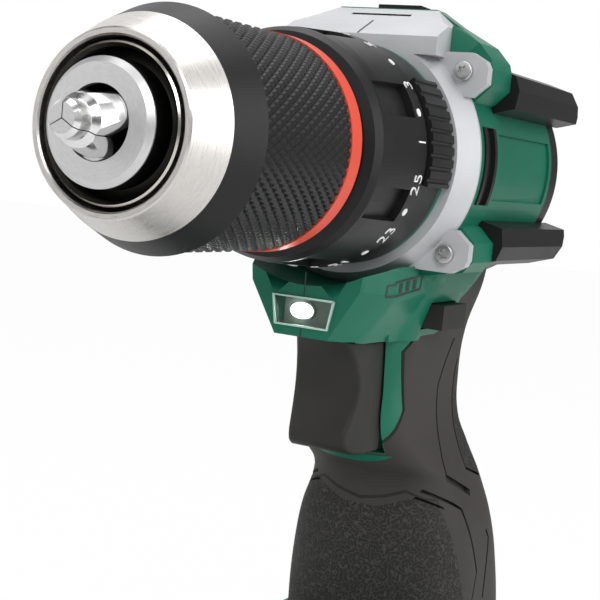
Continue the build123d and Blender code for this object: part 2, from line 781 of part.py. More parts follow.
    # seats of the side inserts and the shallow side panels
    for half, y0, y1, depth in (
        (insert_half, insert_front, insert_front + insert_len, insert_depth),
        (panel_half, panel_front, panel_back, panel_depth),
    ):
        with BuildPart(mode=Mode.PRIVATE) as seat:
            tube(y0, y1, 40, barrel_r - depth)
            block(-50, 50, y0 - 1, y1 + 1, axis_z - half, axis_z + half, mode=Mode.INTERSECT)
        add(seat.part, mode=Mode.SUBTRACT)
    # the ears of the gear case lie on the top of the nose
    block(-40, 40, ear_front - 0.1, housing_front, axis_z - 24.1, axis_z, mode=Mode.SUBTRACT)

with BuildPart() as housing_left:
    add(shell.part)
    split(bisect_by=Plane.YZ, keep=Keep.TOP)
save(housing_left, "housing_left")

with BuildPart() as housing_right:
    add(shell.part)
    split(bisect_by=Plane.YZ, keep=Keep.BOTTOM)
save(housing_right, "housing_right")

# ---------------------------------------------------------------- rubber of the handle
with BuildPart() as sleeve_rubber:
    handle(0)
    handle(skin - seat_gap, mode=Mode.SUBTRACT)
    front_zone(groove, Mode.SUBTRACT)
    bar(-60, 60, barrel_r + seat_gap, mode=Mode.SUBTRACT)
    block(-60, 60, -60, 60, axis_z - 30, axis_z, mode=Mode.SUBTRACT)
    block(-60, 60, -60, 60, foot_top - 2, rubber_end + seat_gap, mode=Mode.SUBTRACT)
    flank(60, [(-23.3, -38.4), (-23.3, -31.9), (-8.4, -31.9), (-8.4, -38.4)], mode=Mode.SUBTRACT)
    block(-trigger_half - 4, trigger_half + 4, -60, -12,
          axis_z + trigger_bottom - trigger_fit - 1.2, axis_z + trigger_top + 3, mode=Mode.SUBTRACT)
    for y, z, length in screw_points[:4]:
        with BuildSketch(side) as pad:
            with Locations((y, z)):
                Circle(2.7)
        extrude(pad.sketch, amount=-40, mode=Mode.SUBTRACT)

with BuildPart() as grip_left:
    add(sleeve_rubber.part)
    split(bisect_by=Plane.YZ, keep=Keep.TOP)
save(grip_left, "grip_left")

with BuildPart() as grip_right:
    add(sleeve_rubber.part)
    split(bisect_by=Plane.YZ, keep=Keep.BOTTOM)
save(grip_right, "grip_right")

# ---------------------------------------------------------------- rear cap, bumpers, inserts
with BuildPart() as rear_cap:
    turn([
        (barrel_end, housing_bore_r - 1.2), (barrel_end, barrel_r), (cap_end - 1.8, barrel_r),
        (cap_end, barrel_r - 1.8), (cap_end, 0), (cap_end - cap_wall, 0),
        (cap_end - cap_wall, bearing_r), (cap_end - cap_wall - 2.4, bearing_r),
        (cap_end - cap_wall - 2.4, bearing_r + 2.0), (cap_end - cap_wall, bearing_r + 2.0),
        (cap_end - cap_wall, housing_bore_r - 1.2),
    ])
save(rear_cap, "rear_cap")

bumper = [(20.2, 21.9), (24.5, 22.6), (30.4, 20.8), (31.6, 17.6), (31.0, 13.4), (24.0, 11.6)]
for name, sx in (("bumpers_left", 1), ("bumpers_right", -1)):
    with BuildPart() as bumpers:
        for sz in (1, -1):
            slab(shoulder_end + seat_gap, cap_end + 1.5, [(sx * x, sz * z) for x, z in bumper])
        bar(shoulder_end - 1, cap_end + 3, barrel_r + seat_gap, mode=Mode.SUBTRACT)
        for sz in (1, -1):
            flank(40, [(cap_end + 2, sz * 24), (cap_end - 5.0, sz * 24), (cap_end + 1.6, sz * 15)],
                  mode=Mode.SUBTRACT)
        with BuildPart(mode=Mode.PRIVATE) as roof_cut:
            add(roof.part)
        add(roof_cut.part, mode=Mode.SUBTRACT)
    save(bumpers, name)

with BuildPart() as vent_inserts:
    tube(insert_front + seat_gap, insert_front + insert_len - seat_gap,
         barrel_r + 0.4, barrel_r - insert_depth + seat_gap)
    tube(insert_front + 1.6, insert_front + insert_len - 1.6, barrel_r + 1, barrel_r - 0.6, mode=Mode.SUBTRACT)
    block(-50, 50, -60, 60, axis_z - insert_half + seat_gap, axis_z + insert_half - seat_gap, mode=Mode.INTERSECT)
save(vent_inserts, "vent_inserts")

# ---------------------------------------------------------------- lamp
with BuildPart() as led_lens:
    slab(lamp_front + 0.2, lamp_front + 2.4, mirrored([(7.2, -32.0), (6.2, -37.8)]))
save(led_lens, "led_lens")

with BuildPart() as led_board:
    block(-5.9, 5.9, lamp_front + 3.6, lamp_front + 5.0, axis_z - 38.25, axis_z - 31.05)
    bar(lamp_front + 2.6, lamp_front + 3.6, 1.9, 0, -34.8)
save(led_board, "led_board")

# ---------------------------------------------------------------- trigger and switch
stem_back = -21.5
switch_front = stem_back + trigger_travel + 2.5
with BuildPart() as trigger:
    with BuildSketch(side) as outline:
        with BuildLine():
            Spline((-43.6, trigger_top), (-39.0, -48.0), (-38.4, -56.0), (-41.6, -63.6))
            Line((-43.6, trigger_top), (-26.0, trigger_top))
            Line((-26.0, trigger_top), (-26.0, trigger_bottom))
            Line((-26.0, trigger_bottom), (-38.5, trigger_bottom))
            Line((-38.5, trigger_bottom), (-41.6, -63.6))
        make_face()
    extrude(outline.sketch, amount=trigger_half, both=True)
    with BuildSketch(Plane.XY.offset(axis_z + trigger_bottom)) as plan:
        with BuildLine():
            Polyline(
                (-trigger_nose_half, -50.0), (trigger_nose_half, -50.0), (trigger_nose_half, -41.0),
                (trigger_half, -33.0), (trigger_half, -26.0), (-trigger_half, -26.0),
                (-trigger_half, -33.0), (-trigger_nose_half, -41.0), close=True,
            )
        make_face()
    extrude(plan.sketch, amount=trigger_top - trigger_bottom, mode=Mode.INTERSECT)
    block(-3.0, 3.0, -26.0, stem_back, axis_z - 56.0, axis_z - 50.0)
save(trigger, "trigger")

with BuildPart() as switch_body:
    block(-8.2, 8.2, switch_front, 11.0, axis_z - 64.0, axis_z - 43.0)
save(switch_body, "switch_body")

with BuildPart() as trigger_spring:
    with BuildLine() as coil:
        Helix(pitch=2.0, height=switch_front - stem_back - 1.6, radius=2.2,
              center=(0, stem_back + 0.8, axis_z - 53.0), direction=(0, 1, 0))
    with BuildSketch(Plane(origin=coil.line @ 0, z_dir=coil.line % 0)) as wire:
        Circle(0.45)
    sweep(wire.sketch, path=coil.line)
save(trigger_spring, "trigger_spring")

with BuildPart() as selector:
    block(-selector_half, selector_half, -22.9, -8.8, axis_z - 38.0, axis_z - 32.3)
save(selector, "selector")

# ---------------------------------------------------------------- electronics
with BuildPart() as control_board:
    block(-17.0, 17.0, -2.0, 32.0, rail_top + 2.5, rail_top + 4.1)
save(control_board, "control_board")

with BuildPart() as terminal_block:
    block(-15.0, 15.0, rail_back - 3.5, rail_back, foot_base + 1.0, rail_top - 0.5)
    for x in (-9.0, 0.0, 9.0):
        block(x - 0.4, x + 0.4, rail_back - 15.5, rail_back - 3.5, foot_base + 2.6, rail_top - 1.2)
save(terminal_block, "terminal_block")

with BuildPart() as housing_screws:
    for y, z, length in screw_points:
        with BuildSketch(side.offset(-length + 2)) as pad:
            with Locations((y, z)):
                Circle(2.5)
        extrude(pad.sketch, amount=-1.6)
        with BuildSketch(side.offset(-length + 2)) as pad:
            with Locations((y, z)):
                Circle(boss_r_in)
        extrude(pad.sketch, amount=length + 3)
save(housing_screws, "housing_screws")

# ---------------------------------------------------------------- battery pack
pack_top = foot_base - 0.4
tower_front = -pack_half_y + 10.0
tower_back = rail_back - 3.9
with BuildPart() as pack_case:
    with BuildSketch(Plane.XY):
        RectangleRounded(2 * pack_half_x, 2 * pack_half_y, 10.0)
    extrude(amount=pack_split)
    chamfer(pack_case.faces().sort_by(Axis.Z)[0].edges(), 2.0)
    with BuildSketch(Plane.XY.offset(pack_wall)):
        RectangleRounded(2 * (pack_half_x - pack_wall), 2 * (pack_half_y - pack_wall), 10.0 - pack_wall)
    extrude(amount=pack_split, mode=Mode.SUBTRACT)
    block(-14.6, 14.6, -pack_half_y - 1, -pack_half_y + 6.0, latch_floor - 1.4, pack_split + 1)
    block(-13.4, 13.4, -pack_half_y - 2, -pack_half_y + 4.6, latch_floor, pack_split + 2,
          mode=Mode.SUBTRACT)
    with BuildSketch(Plane.XY):
        RectangleRounded(2 * pack_half_x, 2 * pack_half_y, 10.0)
    extrude(amount=pack_split, mode=Mode.INTERSECT)
save(pack_case, "pack_case")

with BuildPart() as pack_lid:
    with BuildSketch(Plane.XY.offset(pack_split)):
        RectangleRounded(2 * pack_half_x, 2 * pack_half_y, 10.0)
    extrude(amount=pack_top - pack_split)
    chamfer(pack_lid.faces().sort_by(Axis.Z)[-1].edges(), 1.6)
    block(-pack_half_x + 4, pack_half_x - 4, -pack_half_y + 7, pack_half_y - 4,
          pack_split - 1, pack_top - 2.4, mode=Mode.SUBTRACT)
    block(-rail_half + rail_neck, rail_half - rail_neck, tower_front, tower_back, pack_top - 0.5, rail_top)
    block(-rail_half, rail_half, tower_front, tower_back, foot_base + rail_flange + 0.2, rail_top)
    block(-13.4, 13.4, -pack_half_y - 2, -pack_half_y + 4.6, pack_split - 1, pack_top + 1, mode=Mode.SUBTRACT)
    for x in (-9.0, 0.0, 9.0):
        block(x - 0.9, x + 0.9, tower_back - 12.6, tower_back + 1, foot_base + 2.0, rail_top + 1,
              mode=Mode.SUBTRACT)
save(pack_lid, "pack_lid")

with BuildPart() as pack_cells:
    for row in range(2):
        for column in range(5):
            with BuildSketch(Plane.YZ.offset(-cell_len / 2)) as disc:
                with Locations(((column - 2) * 18.6 + 0.7, pack_wall + cell_r + row * 18.6 + 0.05)):
                    Circle(cell_r)
            extrude(disc.sketch, amount=cell_len)
save(pack_cells, "pack_cells")

with BuildPart() as pack_latch:
    block(-13.0, 13.0, -pack_half_y - 0.6, -pack_half_y + 4.2, latch_low, 50.4)
    block(-8.0, 8.0, -pack_half_y + 1.2, -pack_half_y + 4.2, 50.4, 56.2)
save(pack_latch, "pack_latch")

with BuildPart() as latch_spring:
    with BuildLine() as coil:
        Helix(pitch=1.3, height=3.7, radius=1.6, center=(0, -pack_half_y + 2.2, latch_floor + 0.6))
    with BuildSketch(Plane(origin=coil.line @ 0, z_dir=coil.line % 0)) as wire:
        Circle(0.35)
    sweep(wire.sketch, path=coil.line)
save(latch_spring, "latch_spring")

print(len(parts), "pieces")
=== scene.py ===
import bpy
from math import cos, pi, radians, sin
from mathutils import Matrix, Vector


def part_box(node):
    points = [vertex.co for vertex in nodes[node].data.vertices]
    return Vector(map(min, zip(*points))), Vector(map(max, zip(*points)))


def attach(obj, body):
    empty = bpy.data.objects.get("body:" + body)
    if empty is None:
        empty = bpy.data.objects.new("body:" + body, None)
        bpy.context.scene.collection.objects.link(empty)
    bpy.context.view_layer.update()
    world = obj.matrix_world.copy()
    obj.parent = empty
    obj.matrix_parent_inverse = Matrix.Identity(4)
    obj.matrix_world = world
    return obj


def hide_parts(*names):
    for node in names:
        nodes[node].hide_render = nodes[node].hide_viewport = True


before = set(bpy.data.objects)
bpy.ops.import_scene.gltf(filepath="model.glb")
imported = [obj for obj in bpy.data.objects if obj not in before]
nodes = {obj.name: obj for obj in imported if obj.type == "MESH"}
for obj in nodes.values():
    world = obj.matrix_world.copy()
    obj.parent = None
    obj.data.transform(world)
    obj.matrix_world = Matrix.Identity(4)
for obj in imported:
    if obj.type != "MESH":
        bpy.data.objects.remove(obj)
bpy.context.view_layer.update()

# ---------------------------------------------------------------- stage
# A pale studio sweep. The floor is a plain matt sheet and the room is white
# all round, so the drill stands free on white.
floor_size = 6.0
floor_drop = 0.0005
floor_white = 0.86
floor_glow = 0.97
soft_fill = 0.40
wall_count = 3.0
wall_turn = 1.2
wall_edge = (-0.5, 0.5)
gap_level = 0.22
low_edge = (-0.35, 0.25)
low_level = 0.35
drill_middle = Vector((0.0, -0.03, 0.15))


def new_material(name):
    """Material with one Principled shader: returns the material, its tree and the shader."""
    material = bpy.data.materials.new(name)
    material.use_nodes = True
    tree = material.node_tree
    tree.nodes.clear()
    output = tree.nodes.new("ShaderNodeOutputMaterial")
    shader = tree.nodes.new("ShaderNodeBsdfPrincipled")
    tree.links.new(shader.outputs["BSDF"], output.inputs["Surface"])
    return material, tree, shader


def add_node(tree, kind, inputs=None, **settings):
    """Node with its settings and with input values or links, by socket name or number."""
    node = tree.nodes.new(kind)
    for key, value in settings.items():
        setattr(node, key, value)
    for key, value in (inputs or {}).items():
        if isinstance(value, bpy.types.NodeSocket):
            tree.links.new(value, node.inputs[key])
        else:
            node.inputs[key].default_value = value
    return node


def maths(tree, operation, *values):
    """Result of a Math node."""
    return add_node(tree, "ShaderNodeMath", dict(enumerate(values)), operation=operation).outputs[0]


def ranged(tree, value, old, new, **settings):
    """Value carried over from an old range to a new one."""
    inputs = {0: value, 1: old[0], 2: old[1], 3: new[0], 4: new[1]}
    return add_node(tree, "ShaderNodeMapRange", inputs, **settings).outputs[0]


bpy.ops.object.select_all(action="DESELECT")
bpy.ops.mesh.primitive_plane_add(size=floor_size, location=(0, 0, -floor_drop))
floor = bpy.context.object
floor.name = "stage_floor"
paper, tree, shader = new_material("stage_paper")
shader.inputs["Base Color"].default_value = (floor_white, floor_white, floor_white, 1)
shader.inputs["Roughness"].default_value = 0.9
glow = add_node(tree, "ShaderNodeEmission", {"Strength": 1.0})
path = add_node(tree, "ShaderNodeLightPath")
share = maths(tree, "MULTIPLY", path.outputs["Is Camera Ray"], floor_glow)
mix = add_node(tree, "ShaderNodeMixShader", {0: share, 1: shader.outputs[0], 2: glow.outputs[0]})
tree.links.new(mix.outputs[0], tree.nodes["Material Output"].inputs["Surface"])
floor.data.materials.append(paper)

world = bpy.data.worlds.new("studio")
bpy.context.scene.world = world
world.use_nodes = True
sky = world.node_tree
back = sky.nodes["Background"]
path = add_node(sky, "ShaderNodeLightPath")
seen = maths(sky, "MAXIMUM", path.outputs["Is Camera Ray"], path.outputs["Is Transmission Ray"])
plain_sky = ranged(sky, seen, (0.0, 1.0), (soft_fill, 1.0))
# what polished metal mirrors: white walls with dark gaps between them, darker low down
place = add_node(sky, "ShaderNodeTexCoord").outputs["Generated"]
towards = add_node(sky, "ShaderNodeSeparateXYZ", {0: place})
bearing = maths(sky, "ARCTAN2", towards.outputs["Y"], towards.outputs["X"])
panels = maths(sky, "SINE", maths(sky, "MULTIPLY_ADD", bearing, wall_count, wall_turn))
walls = ranged(sky, panels, wall_edge, (gap_level, 1.0), interpolation_type="SMOOTHSTEP")
low_sky = ranged(sky, towards.outputs["Z"], low_edge, (low_level, 1.0))
mirrored = maths(sky, "MULTIPLY", path.outputs["Is Glossy Ray"], maths(sky, "MULTIPLY", walls, low_sky))
not_mirrored = maths(sky, "SUBTRACT", 1.0, path.outputs["Is Glossy Ray"])
level = maths(sky, "MULTIPLY_ADD", plain_sky, not_mirrored, mirrored)
back.inputs["Color"].default_value = (1, 1, 1, 1)
sky.links.new(level, back.inputs["Strength"])


def soft_box(name, place, size, power):
    """Rectangular soft box that faces the drill."""
    data = bpy.data.lights.new(name, "AREA")
    data.shape = "RECTANGLE"
    data.size, data.size_y = size
    data.energy = power
    lamp = bpy.data.objects.new(name, data)
    bpy.context.scene.collection.objects.link(lamp)
    lamp.location = place
    lamp.rotation_euler = (drill_middle - Vector(place)).to_track_quat("-Z", "Y").to_euler()


soft_box("key_box", (0.55, -0.75, 0.75), (0.5, 0.5), 5.0)
soft_box("side_box", (0.9, 0.25, 0.35), (0.5, 0.9), 4.0)
soft_box("left_box", (-0.8, -0.5, 0.45), (0.3, 0.9), 2.6)
soft_box("top_box", (0.0, 0.1, 1.0), (0.8, 0.8), 4.0)

# Camera: a portrait lens close in front of the drill, a little over the chuck axis.
eye = Vector((0.13515, -0.3182, 0.18077))
right = Vector((0.8812, 0.4630, 0.0957)).normalized()
ahead = Vector((-0.4550, 0.8855, -0.0942))
ahead = (ahead - ahead.dot(right) * right).normalized()
up = right.cross(ahead)
camera_data = bpy.data.cameras.new("camera")
camera_data.lens = 83.27
camera_data.sensor_width = 36.0
camera_data.clip_start = 0.01
camera = bpy.data.objects.new("camera", camera_data)
bpy.context.scene.collection.objects.link(camera)
turn = Matrix((right, up, -ahead)).transposed()
camera.matrix_world = Matrix.Translation(eye) @ turn.to_4x4()
bpy.context.scene.camera = camera
bpy.context.scene.view_settings.view_transform = "Standard"

# ---------------------------------------------------------------- chuck
# Machined steel body with three hardened jaws, in a sleeve of dark-coated
# steel with a brushed front ring and a bright ring pressed round the nose.
low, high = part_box("chuck_sleeve")
axis_height = (low[2] + high[2]) / 2
ring_scale = 4000.0
ring_drift = 0.0016
noise_range = (0.3, 0.7)
plastic_specular = 0.22
nose_disc = 0.0013


def uneven(tree, shader, mask, colour, shades, roughness, spread, height, depth):
    """Colour and gloss that follow a noise mask, and a fine relief from a height."""
    shade = ranged(tree, mask, noise_range, shades)
    tint = add_node(tree, "ShaderNodeVectorMath", {0: colour, 3: shade}, operation="SCALE")
    gloss = ranged(tree, mask, noise_range, (roughness - spread / 2, roughness + spread / 2))
    bump = add_node(tree, "ShaderNodeBump", {"Height": height, "Distance": depth, "Strength": 1.0})
    tree.links.new(tint.outputs[0], shader.inputs["Base Color"])
    tree.links.new(gloss, shader.inputs["Roughness"])
    tree.links.new(bump.outputs[0], shader.inputs["Normal"])


def turned(name, colour, roughness, metallic=1.0, depth=0.00001, spread=0.1):
    """Turned or brushed metal: fine rings round the chuck axis."""
    material, tree, shader = new_material(name)
    shader.inputs["Metallic"].default_value = metallic
    shader.inputs["Specular IOR Level"].default_value = 0.5 if metallic else plastic_specular
    place = add_node(tree, "ShaderNodeTexCoord").outputs["Object"]
    centred = add_node(tree, "ShaderNodeMapping", {"Vector": place, "Location": (0, 0, -axis_height)})
    flat = add_node(tree, "ShaderNodeVectorMath", {0: centred.outputs[0], 1: (1, 0, 1)},
                    operation="MULTIPLY")
    radius = add_node(tree, "ShaderNodeVectorMath", {0: flat.outputs[0]}, operation="LENGTH")
    split = add_node(tree, "ShaderNodeSeparateXYZ", {0: centred.outputs[0]})
    angle = maths(tree, "ARCTAN2", split.outputs["Z"], split.outputs["X"])
    drift = maths(tree, "MULTIPLY", angle, ring_drift)
    rings = add_node(tree, "ShaderNodeCombineXYZ", {
        0: radius.outputs["Value"], 1: split.outputs["Y"], 2: drift,
    })
    noise = add_node(tree, "ShaderNodeTexNoise", {
        "Vector": rings.outputs[0], "Scale": ring_scale, "Detail": 3.0,
    })
    lines = noise.outputs["Fac"]
    uneven(tree, shader, lines, colour, (0.93, 1.05), roughness, spread, lines, depth)
    return material


def coat(piece, material):
    """Gives a piece one material in place of any other."""
    piece.data.materials.clear()
    piece.data.materials.append(material)


def dress(material, *names):
    """Gives CAD nodes their finish in place of the plain one."""
    for name in names:
        coat(nodes[name], material)


def object_axes(tree):
    """Object coordinates, split into X, Y and Z."""
    place = add_node(tree, "ShaderNodeTexCoord").outputs["Object"]
    return add_node(tree, "ShaderNodeSeparateXYZ", {0: place}).outputs


def above(tree, value, limit):
    """Mask that is 1 where a value is over a limit."""
    return maths(tree, "GREATER_THAN", value, limit)


def second_colour(material, mask, colour):
    """Another colour over a material where a mask is 1."""
    tree = material.node_tree
    shader = tree.nodes["Principled BSDF"]
    under = shader.inputs["Base Color"].links[0].from_socket
    mix = add_node(tree, "ShaderNodeMix", {0: mask, 6: under, 7: (*colour, 1)}, data_type="RGBA")
    tree.links.new(mix.outputs[2], shader.inputs["Base Color"])


def colour_behind(material, y, colour):
    """Another colour on all that lies behind a plane across the chuck axis."""
    tree = material.node_tree
    second_colour(material, above(tree, object_axes(tree)["Y"], y), colour)


polished = turned("polished_steel", (0.74, 0.74, 0.74), 0.16, depth=0.000004, spread=0.06)
brushed = turned("brushed_steel", (0.63, 0.61, 0.585), 0.30)
nose_bright = turned("nose_ring_steel", (0.60, 0.58, 0.53), 0.22, depth=0.000003, spread=0.05)
dark_satin = turned("dark_coated_steel", (0.011, 0.011, 0.0112), 0.42,
                    metallic=0.0, depth=0.000002, spread=0.05)
red_coat = turned("red_coated_ring", (0.70, 0.085, 0.05), 0.38, metallic=0.0, depth=0.000004)
# the nose disc is ground bright, the hood behind it is black
hood = turned("chuck_hood", (0.62, 0.62, 0.625), 0.40, depth=0.000003, spread=0.05)
colour_behind(hood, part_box("chuck_body")[0][1] + nose_disc, (0.022, 0.021, 0.020))
dress(polished, "chuck_jaw_1", "chuck_jaw_2", "chuck_jaw_3", "chuck_screw", "spindle")
dress(nose_bright, "chuck_nose_ring")
dress(hood, "chuck_body")
dress(brushed, "chuck_front_ring")
dress(dark_satin, "chuck_band", "chuck_nut")
dress(red_coat, "chuck_red_ring")

# Knurled sleeve: a diamond knurl rolled into the dark-coated tube, truncated
# four-sided points in staggered rows, with a plain bore.
knurl_round = 72
knurl_rows = 10
knurl_depth = 0.00042
knurl_flat = 0.42
knurl_slope = 0.86
knurl_end = 0.0002
knurl_weld = 0.00002
bore_share = 0.95
sleeve_r = (high[0] - low[0]) / 2
valley_r = sleeve_r - knurl_depth
pitch = (high[1] - low[1]) / (knurl_rows - 0.5)
half_wide = pi * valley_r / knurl_round


def pick(piece):
    """Makes one piece the only selected one, and the active one."""
    bpy.ops.object.select_all(action="DESELECT")
    piece.select_set(True)
    bpy.context.view_layer.objects.active = piece


def modify(piece, kind, **settings):
    """Gives a piece a modifier and applies it."""
    pick(piece)
    step = piece.modifiers.new(kind.lower(), kind)
    for key, value in settings.items():
        setattr(step, key, value)
    bpy.ops.object.modifier_apply(modifier=step.name)


def joined(name, pieces):
    """One mesh made of several."""
    pick(pieces[0])
    for piece in pieces[1:]:
        piece.select_set(True)
    bpy.ops.object.join()
    whole = bpy.context.object
    whole.name = name
    return whole


def rod(sides, radius, length, place=(0, 0, 0), turn_by=0, **settings):
    """Cylinder that lies along the chuck axis."""
    bpy.ops.object.select_all(action="DESELECT")
    bpy.ops.mesh.primitive_cylinder_add(vertices=sides, radius=radius, depth=length, location=place,
                                        rotation=(pi / 2, turn_by, 0), **settings)
    return bpy.context.object


bpy.ops.object.select_all(action="DESELECT")
bpy.ops.mesh.primitive_circle_add(vertices=4, radius=1.0, fill_type="NGON", location=(0, 0, 0))
knurl = bpy.context.object
bpy.ops.object.mode_set(mode="EDIT")
bpy.ops.mesh.select_all(action="SELECT")
bpy.ops.transform.resize(value=(half_wide, pitch / 2, 1.0))
bpy.ops.mesh.inset(thickness=half_wide * (1 - knurl_flat) * knurl_slope, depth=knurl_depth)
bpy.ops.mesh.select_all(action="SELECT")
bpy.ops.transform.translate(value=(0, low[1], axis_height + valley_r))
bpy.ops.object.mode_set(mode="OBJECT")
modify(knurl, "ARRAY", use_relative_offset=False, use_constant_offset=True,
       constant_offset_displace=(0, pitch, 0), count=knurl_rows + 1)
bpy.ops.object.mode_set(mode="EDIT")
bpy.ops.mesh.select_all(action="SELECT")
bpy.ops.mesh.duplicate()
bpy.ops.transform.translate(value=(0, pitch / 2, 0))
bpy.ops.transform.rotate(value=pi / knurl_round, orient_axis="Y", center_override=(0, 0, axis_height))
bpy.ops.mesh.select_all(action="SELECT")
bpy.ops.mesh.spin(steps=knurl_round - 1, dupli=True, angle=2 * pi * (knurl_round - 1) / knurl_round,
                  center=(0, 0, axis_height), axis=(0, 1, 0))
bpy.ops.mesh.select_all(action="SELECT")
bpy.ops.mesh.remove_doubles(threshold=knurl_weld)
for y, sign in ((low[1] + knurl_end, -1), (high[1] - knurl_end, 1)):
    bpy.ops.mesh.select_all(action="SELECT")
    bpy.ops.mesh.bisect(plane_co=(0, y, 0), plane_no=(0, sign, 0), clear_outer=True)
bpy.ops.mesh.select_all(action="DESELECT")
bpy.ops.mesh.select_non_manifold()
bpy.ops.mesh.extrude_region_move()
bpy.ops.transform.resize(value=(bore_share, 1, bore_share), center_override=(0, 0, axis_height))
bpy.ops.mesh.select_all(action="SELECT")
bpy.ops.mesh.normals_make_consistent(inside=False)
bpy.ops.object.mode_set(mode="OBJECT")
bore = rod(knurl_round, bore_share * valley_r, high[1] - low[1] - 2 * knurl_end,
           (0, (low[1] + high[1]) / 2, axis_height), end_fill_type="NOTHING")
bpy.ops.object.transform_apply(location=True, rotation=True, scale=True)
bpy.ops.object.mode_set(mode="EDIT")
bpy.ops.mesh.select_all(action="SELECT")
bpy.ops.mesh.flip_normals()
bpy.ops.object.mode_set(mode="OBJECT")
knurl = joined("knurled_sleeve", [knurl, bore])
coat(knurl, dark_satin)
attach(knurl, "chuck_sleeve")
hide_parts("chuck_sleeve")

# ---------------------------------------------------------------- torque collar
# Moulded glass-filled nylon collar with recessed panels; the torque steps are
# printed in white round its rear edge, odd ones as numbers and even ones as dots.
mark_y = -0.0556
mark_r = 0.02488
mark_size = 0.0050
mark_thin = -0.00009
mark_raise = 0.00012
dot_r = 0.00085
mark_count = 25
# degrees round the chuck axis, from the drill's left side
first_mark = 7.7
mark_step = 14.16
mottle_scale = 45.0


def grain_group():
    """Fine moulded grain: a height, and a mask of slow mottling."""
    group = bpy.data.node_groups.new("moulded_grain", "ShaderNodeTree")
    group.interface.new_socket("Grain Size", in_out="INPUT", socket_type="NodeSocketFloat")
    group.interface.new_socket("Height", in_out="OUTPUT", socket_type="NodeSocketFloat")
    group.interface.new_socket("Mottle", in_out="OUTPUT", socket_type="NodeSocketFloat")
    entry = group.nodes.new("NodeGroupInput")
    leave = group.nodes.new("NodeGroupOutput")
    place = group.nodes.new("ShaderNodeTexCoord").outputs["Object"]
    scale = maths(group, "DIVIDE", 1.0, entry.outputs[0])
    fine = add_node(group, "ShaderNodeTexNoise", {"Vector": place, "Scale": scale, "Detail": 3.0})
    slow = add_node(group, "ShaderNodeTexNoise", {"Vector": place, "Scale": mottle_scale, "Detail": 4.0})
    group.links.new(fine.outputs["Fac"], leave.inputs["Height"])
    group.links.new(slow.outputs["Fac"], leave.inputs["Mottle"])
    return group


grain = grain_group()


def moulded(name, colour, roughness, size=0.0004, depth=0.00002, spread=0.12, specular=plastic_specular):
    """Moulded plastic or rubber: fine grain, slightly uneven gloss and colour."""
    material, tree, shader = new_material(name)
    shader.inputs["Specular IOR Level"].default_value = specular
    effect = add_node(tree, "ShaderNodeGroup", node_tree=grain)
    effect.inputs["Grain Size"].default_value = size
    mottle, height = effect.outputs["Mottle"], effect.outputs["Height"]
    uneven(tree, shader, mottle, colour, (0.9, 1.1), roughness, spread, height, depth)
    return material


def plain(name, colour, roughness):
    """Even paint or print."""
    material, tree, shader = new_material(name)
    shader.inputs["Base Color"].default_value = (*colour, 1)
    shader.inputs["Roughness"].default_value = roughness
    return material


black = (0.010, 0.010, 0.0102)
black_nylon = moulded("black_nylon", black, 0.38, size=0.00035, depth=0.000012, spread=0.08)
dress(black_nylon, "torque_collar")
marks = []
for number in range(1, mark_count + 1):
    bpy.ops.object.select_all(action="DESELECT")
    if number % 2:
        bpy.ops.object.text_add(location=(0, 0, 0))
        text = bpy.context.object.data
        text.body = str(number)
        text.align_x = "CENTER"
        text.align_y = "CENTER"
        text.size = mark_size
        text.offset = mark_thin
        text.extrude = mark_raise
        bpy.ops.object.convert(target="MESH")
    else:
        bpy.ops.mesh.primitive_cylinder_add(vertices=16, radius=dot_r, depth=2 * mark_raise)
    mark = bpy.context.object
    # face outwards, read along the rim, tops towards the chuck
    angle = radians(first_mark + mark_step * (number - 1))
    outward = Vector((cos(angle), 0, sin(angle)))
    reading = Vector((-sin(angle), 0, cos(angle)))
    facing = Matrix((reading, Vector((0, -1, 0)), outward)).transposed().to_4x4()
    centre = Vector((0, mark_y, axis_height)) + outward * mark_r
    mark.data.transform(Matrix.Translation(centre) @ facing)
    marks.append(mark)
torque_marks = joined("torque_marks", marks)
coat(torque_marks, plain("white_print", (0.86, 0.86, 0.86), 0.5))
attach(torque_marks, "torque_collar")

# ---------------------------------------------------------------- mode ring
# Black turned ring with a ribbed thumb piece that picks drill, screw or hammer,
# and a green edge next to the gear case.
edge_band = 0.00125
green = (0.008, 0.130, 0.078)
mode_plastic = moulded("mode_ring_plastic", black, 0.38, size=0.00035, depth=0.000012, spread=0.08)
colour_behind(mode_plastic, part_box("mode_ring")[1][1] - edge_band, green)
dress(mode_plastic, "mode_ring")
dress(black_nylon, "mode_grip")

# ---------------------------------------------------------------- gear case
# Die-cast aluminium, bead blasted and clear coated, with four screwed ears and
# a sight line on the hump.
sight_front, sight_back = -0.0400, -0.0325
sight_wide = 0.00045
sight_rise = 0.00004
above_drill = axis_height + 0.05
cast = moulded("cast_aluminium", (0.50, 0.505, 0.52), 0.44, size=0.0006, spread=0.1)
cast.node_tree.nodes["Principled BSDF"].inputs["Metallic"].default_value = 0.25
dress(cast, "gear_case")


def lone_point(name, place):
    """New mesh of one point, selected and left in edit mode."""
    bpy.ops.object.select_all(action="DESELECT")
    bpy.ops.mesh.primitive_plane_add(size=1.0, location=(0, 0, 0))
    piece = bpy.context.object
    piece.name = name
    bpy.ops.object.mode_set(mode="EDIT")
    bpy.ops.mesh.select_all(action="SELECT")
    bpy.ops.mesh.merge(type="CENTER")
    bpy.ops.transform.translate(value=place)
    return piece


def draw_out(points):
    """Extrudes what is selected from point to point."""
    for here, there in zip(points, points[1:]):
        bpy.ops.mesh.extrude_region_move(TRANSFORM_OT_translate={"value": Vector(there) - Vector(here)})


